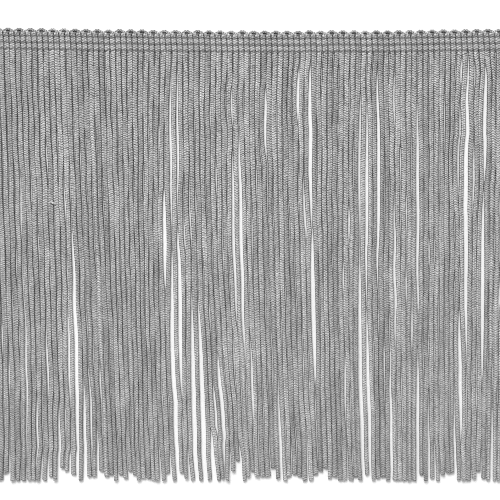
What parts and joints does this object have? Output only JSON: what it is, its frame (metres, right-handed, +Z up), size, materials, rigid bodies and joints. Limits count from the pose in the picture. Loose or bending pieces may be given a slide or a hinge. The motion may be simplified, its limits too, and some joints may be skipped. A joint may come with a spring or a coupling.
{
  "type": "chainette fringe trim",
  "caption": "Flat-lying fringe trim: knitted cord strands hanging from a narrow stitched heading with a scalloped upper edge.",
  "frame": {"origin": "middle of the underside of the whole trim, on the surface that it lies on", "axes": "+X along the heading to the right, +Y from the feet of the strands to the scalloped edge, +Z up, off the surface, with the trim's face up"},
  "size_m": [0.1804, 0.1529, 0.0022],
  "materials": {
    "heading_yarn": "grey knitted chainette cord, stitched down, soft dull sheen",
    "cord_yarn": "grey knitted chainette cord, soft satin sheen"
  },
  "bodies": {
    "root": {"heading": "heading_yarn", "fringe": "cord_yarn"}
  },
  "joints": []
}
